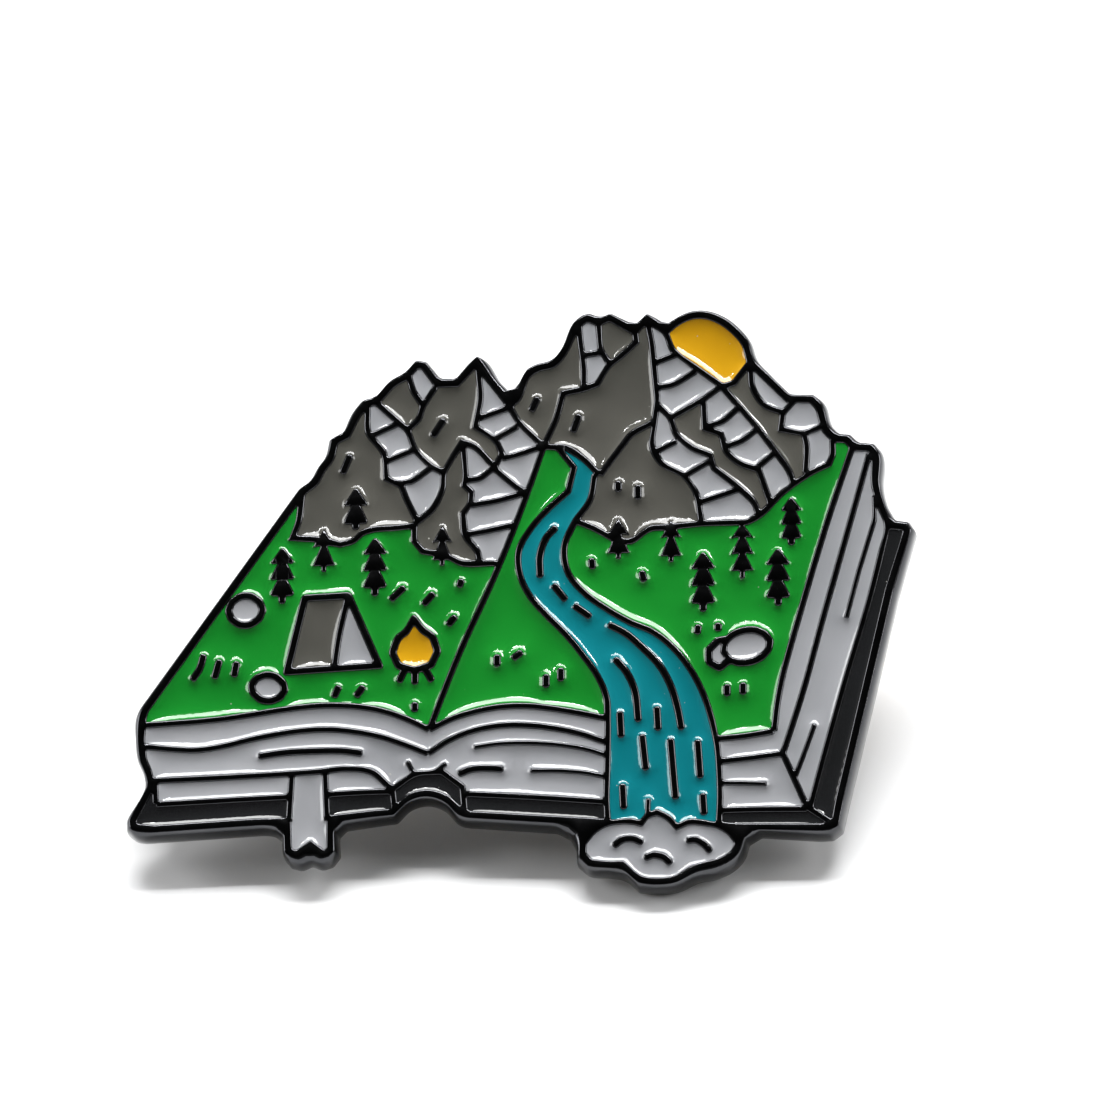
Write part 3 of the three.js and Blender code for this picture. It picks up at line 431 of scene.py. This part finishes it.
def meniscus(corners, triangles, held):
    """The film's height: curvature of the surface times CLING squared equals its height over the sunk level,
    as in a membrane that is held at the walls. Solved by conjugate gradients on the triangles."""
    a, b, c = (corners[triangles[:, i]] for i in range(3))
    twice = (b[:, 0] - a[:, 0]) * (c[:, 1] - a[:, 1]) - (b[:, 1] - a[:, 1]) * (c[:, 0] - a[:, 0])
    twice = np.maximum(twice, 1e-7)
    weights = [((c - a) * (c - b)).sum(1) / twice / 2, ((a - b) * (a - c)).sum(1) / twice / 2,
               ((b - c) * (b - a)).sum(1) / twice / 2]
    left = triangles[:, [0, 1, 2]].T.ravel()
    right = triangles[:, [1, 2, 0]].T.ravel()
    weight = np.maximum(np.concatenate(weights), 0)
    n = len(corners)
    mass = np.bincount(triangles.ravel(), np.repeat(twice / 6, 3), n) / CLING ** 2

    def pull(h):
        slope = weight * (h[left] - h[right])
        return np.bincount(left, slope, n) - np.bincount(right, slope, n) + mass * h

    free = np.ones(n, bool)
    free[:held] = False
    used = np.bincount(triangles.ravel(), minlength=n) > 0
    free &= used
    height = np.zeros(n)
    height[:held] = WETTED - SUNK
    scale = np.bincount(left, weight, n) + np.bincount(right, weight, n) + mass + 1e-9
    rest = np.where(free, -pull(height), 0)
    lean = rest / scale
    way, level_now = lean.copy(), rest @ lean
    for _ in range(400):
        if level_now < 1e-16:
            break
        answer = np.where(free, pull(way), 0)
        step = level_now / max(way @ answer, 1e-30)
        height += step * way
        rest -= step * answer
        lean = rest / scale
        level_now, before = rest @ lean, level_now
        way = lean + level_now / before * way
    return SUNK + height


def enamel(name, colour, deep, roughness=0.07):
    """Baked enamel: a glossy skin over pigment that clouds slightly, with a few specks of dust caught in it."""
    material, nodes, links, surface, place = shader(name, colour, 0.0, roughness, IOR=1.52)
    clouds = ramp(nodes, links, noise(nodes, links, place, 260), 0.3, 0.7, 0, 1)
    pigment = blend(nodes, links, clouds, colour, deep)
    specks = ramp(nodes, links, noise(nodes, links, place, 5200, 1), 0.8, 0.83, 0, 1)
    mix = nodes.new("ShaderNodeMix")
    mix.data_type = "RGBA"
    links.new(pigment, mix.inputs["A"])
    mix.inputs["B"].default_value = (0.34, 0.34, 0.31, 1)
    links.new(specks, mix.inputs["Factor"])
    links.new(mix.outputs["Result"], surface.inputs["Base Color"])
    bump(nodes, links, surface, noise(nodes, links, place, 2600, 2), 0.12, 0.00002)
    return material


finishes = {
    "meadow_enamel": enamel("meadow enamel", (0.008, 0.205, 0.02), (0.006, 0.165, 0.016)),
    "water_enamel": enamel("water enamel", (0.004, 0.17, 0.2), (0.003, 0.14, 0.165)),
    "rock_enamel": enamel("rock enamel", (0.08, 0.078, 0.068), (0.062, 0.061, 0.053)),
    "pale_enamel": enamel("pale enamel", (0.3, 0.305, 0.32), (0.25, 0.256, 0.27)),
    "amber_enamel": enamel("amber enamel", (0.56, 0.3, 0.008), (0.42, 0.215, 0.006)),
    "cover_enamel": enamel("cover enamel", (0.012, 0.0125, 0.0135), (0.009, 0.0095, 0.01)),
}
slot_of = {part["node"]: part["material_slot"] for part in frame["record"]["subparts"]}

named = {}
for node in [name for name in slot_of if name.endswith("_enamel")]:
    corners, triangles = own_shape(node)
    top = triangles[(corners[triangles][:, :, 2] > corners[:, 2].max() - 0.004).all(axis=1)]
    a, b, c = (corners[top[:, i], :2] for i in range(3))
    widest = np.abs((b[:, 0] - a[:, 0]) * (c[:, 1] - a[:, 1]) - (b[:, 1] - a[:, 1]) * (c[:, 0] - a[:, 0])).argmax()
    middle = ((a + b + c) / 3)[widest][None]
    round_it = [k for k, hole in enumerate(holes) if covered(middle, [hole])[0]]
    named[min(round_it, key=lambda k: abs(area(holes[k])))] = node

small = 0
for k, cell in enumerate(cells):
    loops = [loop[::-1] for loop in cell]
    rows = []
    for loop in loops:
        side = leftward(loop)
        for depth in (0.03, 0.075, 0.135, 0.21, 0.31, 0.43):
            row = (loop + depth * side)[::2 if depth > 0.2 else 1]
            clear, _ = reach(row, loops)
            rows.append(row[(clear > 0.9 * depth)])
    low, high = loops[0].min(axis=0), loops[0].max(axis=0)
    grid = np.stack(np.meshgrid(np.arange(low[0], high[0], 0.2), np.arange(low[1], high[1], 0.2)), -1).reshape(-1, 2)
    grid = grid[covered(grid, loops)]
    if len(grid):
        grid = grid[reach(grid, loops)[0] > 0.5]
    inner = np.vstack([*rows, grid])
    inner = inner[covered(inner, loops)] if len(inner) else inner
    film, triangles = joined(loops, inner)
    held = sum(len(loop) for loop in loops)
    height = meniscus(film, triangles, held)
    below, under = joined(loops, np.empty((0, 2)))
    n = len(film)
    walls = []
    start = 0
    for loop in loops:
        i = start + np.arange(len(loop))
        j = start + (np.arange(len(loop)) + 1) % len(loop)
        walls.append(np.stack([i, n + i, n + j, j], axis=1))
        start += len(loop)
    if k in named:
        name, slot = named[k].replace("_enamel", "_fill"), slot_of[named[k]]
    elif loops[0][:, 1].max() < MOUNTAIN_FOOT:
        name, slot = "stone_small_fill", "pale_enamel"
    else:
        small += 1
        name, slot = f"small_snow_{small}_fill", "pale_enamel"
    solid_faces = [*triangles.tolist(), *(n + under[:, ::-1]).tolist(), *np.vstack(walls).tolist()]
    piece = new_piece(name, np.vstack([np.column_stack([film, height]), level(below, FILL_FLOOR)]), solid_faces,
                      "badge", slot, [finishes[slot]])
    if k in named:
        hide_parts(named[k])

# ---- posts ----------------------------------------------------------------------------------------------------
# Two steel nails, nickel plated, with a ground point and a rolled groove that the clutch snaps into. Their flat
# heads are soldered to the back of the plate, with a thin fillet of solder round each.


def turned_surface(profile, centre, around=72):
    """A closed profile [radius, W] swept round a post's axis: each point runs a circle of its own radius."""
    angle = np.arange(around) * 2 * math.pi / around
    radius, height = np.maximum(profile, [0, -99]).T
    ring = np.stack([centre[0] + radius[:, None] * np.cos(angle), centre[1] + radius[:, None] * np.sin(angle),
                     np.repeat(height[:, None], around, axis=1)], axis=-1)
    i, j = np.meshgrid(np.arange(len(profile)), np.arange(around), indexing="ij")
    on, round_ = (i + 1) % len(profile), (j + 1) % around
    a, b, c, d = (k.ravel() for k in (i * around + j, on * around + j, on * around + round_, i * around + round_))
    triangles = np.vstack([np.stack([a, b, c], axis=1), np.stack([a, c, d], axis=1)])
    return outward(*welded(ring.reshape(-1, 3), triangles))


def outward(corners, triangles):
    """The same closed surface with its triangles facing out: the signed volume comes out positive."""
    a, b, c = (corners[triangles[:, k]] - corners.mean(axis=0) for k in range(3))
    return corners, triangles if np.einsum("ij,ij->", a, np.cross(b, c)) > 0 else triangles[:, ::-1]


bright_nickel = plated("bright nickel", (0.62, 0.61, 0.6), (0.52, 0.51, 0.5), 0.2, 0.1)
stations = {}
for hand in ("left", "right"):
    shape, _ = own_shape(f"post_{hand}")
    low, high = shape.min(axis=0), shape.max(axis=0)
    stations[hand] = (low + high)[:2] / 2
    radius = np.hypot(*(shape[:, :2] - stations[hand]).T)
    tip, head = low[2], radius.max()
    under = shape[radius > 0.9 * head, 2].min()
    levels, shaft = shape[:, 2], radius[shape[:, 2] < under - 0.1].max()
    full = (radius > shaft - 0.01) & (levels < under - 0.1)
    waist = (radius > 0.1) & (radius < shaft - 0.01) & (levels < under - 0.1)
    ground, groove, slim = levels[full].min(), levels[waist].mean(), radius[waist].min()
    shallow = (shaft + 2 * slim) / 3
    profile = [[0, tip], [0.1 * shaft, tip + 0.02], [shaft / 2, (tip + tip + ground) / 3 + 0.12], [shaft, ground],
               [shaft, groove - 0.25], [shallow, groove - 0.1], [slim, groove], [shallow, groove + 0.1],
               [shaft, groove + 0.25], [shaft, under - 0.12], [shaft + 0.12, under], [head - 0.06, under],
               [head, under + 0.06], [head + 0.03, under + 0.21], [head + 0.2, high[2]], [0, high[2]]]
    nail = new_piece(f"nail_{hand}", *turned_surface(np.array(profile), stations[hand]), "badge", "nickel_plate",
                     [bright_nickel], sharp=0.6)
    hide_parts(f"post_{hand}")

# ---- clutch caps ----------------------------------------------------------------------------------------------
# A brass disc, drawn into a flange and a cup in one stamping. The bends and both lips are round from the die.

stamped_brass = plated("stamped brass", (0.66, 0.47, 0.2), (0.5, 0.34, 0.13), 0.26, 0.2)
for hand in ("left", "right"):
    shape, _ = own_shape(f"clutch_{hand}_cap")
    low, high = shape.min(axis=0), shape.max(axis=0)
    radius = np.hypot(*(shape[:, :2] - stations[hand]).T)
    flange, front, end, bore = radius.max(), high[2], low[2], radius.min()
    lip = radius[shape[:, 2] < end + 0.01]
    cup, sheet = lip.max(), lip.max() - lip.min()
    back = front - sheet
    profile = eased(np.array([
        [bore, back], [cup - sheet, back], [cup - sheet, end], [cup, end], [cup, back - 0.12], [cup + 0.12, back],
        [flange - 0.3, back], [flange, back + 0.06], [flange, front - 0.04], [flange - 0.3, front],
        [bore + 0.5, front], [bore, front - 0.1]])[::-1])
    cap = new_piece(f"cap_{hand}", *turned_surface(profile, stations[hand], 96), f"clutch_{hand}", "clutch_brass",
                    [stamped_brass], sharp=0.6)
    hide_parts(f"clutch_{hand}_cap")

# ---- clutch springs -------------------------------------------------------------------------------------------
# Two wings of spring brass to each clutch, bent out over the rim of the cup. A narrow jaw bears on the post; the
# finger is wide, with round corners and three pressed ribs for grip.

SPRING_SHEET = sheet  # the same stock as the cap
TIP_ROUND = 0.9  # the round corners of the finger
RIBS_FROM, RIB_PITCH, RIB_HEIGHT = 0.7, 0.47, 0.06
spring_brass = plated("spring brass", (0.7, 0.52, 0.24), (0.56, 0.4, 0.17), 0.22, 0.15)


def wing_surface(reach_out, root, tip, jaw, half_jaw, half_wing, cup, side, centre):
    """A strip along a bent line. Its half width goes from the jaw's to the finger's by a smooth step outside the
    cup and ends in round corners; its two faces lie half a sheet off the line, along the line's normal."""
    drop = tip - root
    line = np.array([[jaw, root], [cup, root], [cup + 0.5, root + 0.1 * drop],
                     [reach_out - 1.5, root + 0.62 * drop], [reach_out - 0.85, root + 0.95 * drop],
                     [reach_out, tip]])
    for _ in range(4):
        line = np.vstack([line[:1], np.stack([0.75 * line[:-1] + 0.25 * line[1:], 0.25 * line[:-1] + 0.75 * line[1:]],
                                             axis=1).reshape(-1, 2), line[-1:]])
    way = np.gradient(line, axis=0)
    way /= np.hypot(*way.T)[:, None]
    normal = np.stack([-way[:, 1], way[:, 0]], axis=1)
    run = np.concatenate([[0], np.cumsum(np.hypot(*np.diff(line, axis=0).T))])
    step = np.clip((line[:, 0] - cup) / 0.35, 0, 1)
    half = half_jaw + (half_wing - half_jaw) * step * step * (3 - 2 * step)
    left = np.clip(run[-1] - run, 0, TIP_ROUND)
    half -= TIP_ROUND - np.sqrt(TIP_ROUND ** 2 - (TIP_ROUND - left) ** 2)
    ribs = np.where((line[:, 0] > cup + RIBS_FROM) & (line[:, 0] < reach_out - 1.0),
                    RIB_HEIGHT / 2 * (1 - np.cos((line[:, 0] - cup - RIBS_FROM) * 2 * math.pi / RIB_PITCH)), 0)
    across = np.linspace(-1, 1, 17)
    rib_share = np.clip(1.6 * (1 - np.abs(across)), 0, 1)
    sheets = []
    for face in (-1, 1):
        off_line = face * SPRING_SHEET / 2 + ribs[:, None] * rib_share
        spot = line[:, None, :] + off_line[..., None] * normal[:, None, :]
        sheets.append(np.stack([centre[0] + side * spot[..., 0], centre[1] + half[:, None] * across,
                                spot[..., 1]], axis=-1))
    n, m = len(line), len(across)
    both = np.concatenate([one.reshape(-1, 3) for one in sheets])
    i, j = (k.ravel() for k in np.meshgrid(np.arange(n - 1), np.arange(m - 1), indexing="ij"))
    quads = [np.stack([i * m + j, (i + 1) * m + j, (i + 1) * m + j + 1, i * m + j + 1], axis=1)]
    quads.append(quads[0][:, ::-1] + n * m)
    loop = np.concatenate([np.arange(m), m - 1 + m * np.arange(1, n), (n - 1) * m + np.arange(m - 2, -1, -1),
                           m * np.arange(n - 2, 0, -1)])
    onward = np.roll(loop, -1)
    quads.append(np.stack([loop, onward, onward + n * m, loop + n * m], axis=1))
    quads = np.vstack(quads)
    return outward(*welded(both, np.vstack([quads[:, :3], quads[:, [0, 2, 3]]])))


for hand in ("left", "right"):
    for part in ("inner", "outer"):
        node = f"clutch_{hand}_wing_{part}"
        shape, _ = own_shape(node)
        low, high = shape.min(axis=0), shape.max(axis=0)
        side = 1 if (low + high)[0] / 2 > stations[hand][0] else -1
        far = (high[0] if side > 0 else -low[0]) - side * stations[hand][0]
        near = (low[0] if side > 0 else -high[0]) - side * stations[hand][0]
        beside = side * (shape[:, 0] - stations[hand][0]) < near + 0.01
        jaw_half = np.ptp(shape[beside, 1]) / 2
        surface_and_faces = wing_surface(
            far - 0.05, high[2] - SPRING_SHEET / 2, low[2] + SPRING_SHEET / 2, near, jaw_half, (high - low)[1] / 2,
            cup, side, stations[hand])
        wing = new_piece(f"spring_{hand}_{part}", *surface_and_faces, f"wing_{hand}_{part}", "spring_brass",
                         [spring_brass], sharp=0.6)
        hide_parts(node)

# ---- floor, light and camera ----------------------------------------------------------------------------------
# A plain pale floor, one wide soft light and a row of small ones behind and above the pin, two side fills,
# and a long lens at the front.

floor_mesh = bpy.data.meshes.new("floor")
half = 2.5
floor_mesh.from_pydata([(-half, -half, 0), (half, -half, 0), (half, half, 0), (-half, half, 0)], [], [(0, 1, 2, 3)])
floor_piece = bpy.data.objects.new("floor", floor_mesh)
bpy.context.scene.collection.objects.link(floor_piece)
pale, nodes, links, surface, place = shader("pale floor", (0.86, 0.865, 0.87), 0.0, 0.8)
links.new(blend(nodes, links, noise(nodes, links, place, 300), (0.84, 0.845, 0.85), (0.88, 0.885, 0.89)),
          surface.inputs["Base Color"])
floor_mesh.materials.append(pale)


def lamp(name, place, aim, width, height, power):
    """A soft rectangular light that faces the point aim."""
    light = bpy.data.lights.new(name, "AREA")
    light.shape = "RECTANGLE"
    light.size, light.size_y = width, height
    light.energy = power
    shown = bpy.data.objects.new(name, light)
    shown.location = place
    shown.rotation_mode = "QUATERNION"
    shown.rotation_quaternion = (Vector(aim) - Vector(place)).to_track_quat("-Z", "Y")
    bpy.context.scene.collection.objects.link(shown)


lamp("key", (0.05, 0.42, 0.66), (0, 0, 0), 0.7, 0.3, 9.5)
lamp("left fill", (-0.7, 0.1, 0.35), (0, 0, 0), 0.4, 0.4, 3.2)
lamp("right fill", (0.7, 0.1, 0.35), (0, 0, 0), 0.4, 0.4, 3.2)
# a row of small lamps behind, as in a light tent: each leaves a bright dot where the enamel curves up
for k in range(9):
    lamp(f"row {k}", (0.09 * (k - 4), 0.3, 0.72), (0, 0, 0), 0.035, 0.018, 0.24)

# the tent is bright low down behind and beside the pin, and dark overhead and in front, where the camera is
world = bpy.data.worlds.new("studio")
world.use_nodes = True
nodes, links = world.node_tree.nodes, world.node_tree.links
heading = nodes.new("ShaderNodeSeparateXYZ")
links.new(nodes.new("ShaderNodeTexCoord").outputs["Generated"], heading.inputs["Vector"])
glow = nodes.new("ShaderNodeMath")
glow.operation = "MULTIPLY"
links.new(ramp(nodes, links, heading.outputs["Z"], 0.35, 0.88, 0.62, 0.04), glow.inputs[0])
links.new(ramp(nodes, links, heading.outputs["Y"], -0.55, 0.15, 0.18, 1.0), glow.inputs[1])
nodes["Background"].inputs["Color"].default_value = (1, 1, 1, 1)
links.new(glow.outputs["Value"], nodes["Background"].inputs["Strength"])
bpy.context.scene.world = world

# the camera stands square above the lower edge of the picture, a little to the right of it
TOWARDS_CAMERA = np.array([0.105, -0.292, 0.951])
DISTANCE = 438
towards = TOWARDS_CAMERA / np.linalg.norm(TOWARDS_CAMERA)
picture_up = np.array([0.0, 1.0, 0.0]) - towards[1] * towards
picture_up /= np.linalg.norm(picture_up)
rightward = np.cross(picture_up, towards)
aim = 1.402 * rightward + 1.99 * picture_up
x, y, z = (Vector(way @ AXES) for way in (rightward, picture_up, towards))
lens = bpy.data.cameras.new("camera")
lens.sensor_width, lens.lens = 36, 347.4
lens.clip_start, lens.clip_end = 0.01, 20
camera = bpy.data.objects.new("camera", lens)
camera.matrix_world = Matrix.Translation(Vector(to_world(aim + DISTANCE * towards))) @ Matrix(
    (x, y, z)).transposed().to_4x4()
bpy.context.scene.collection.objects.link(camera)
bpy.context.scene.camera = camera
bpy.context.scene.view_settings.view_transform = "Standard"
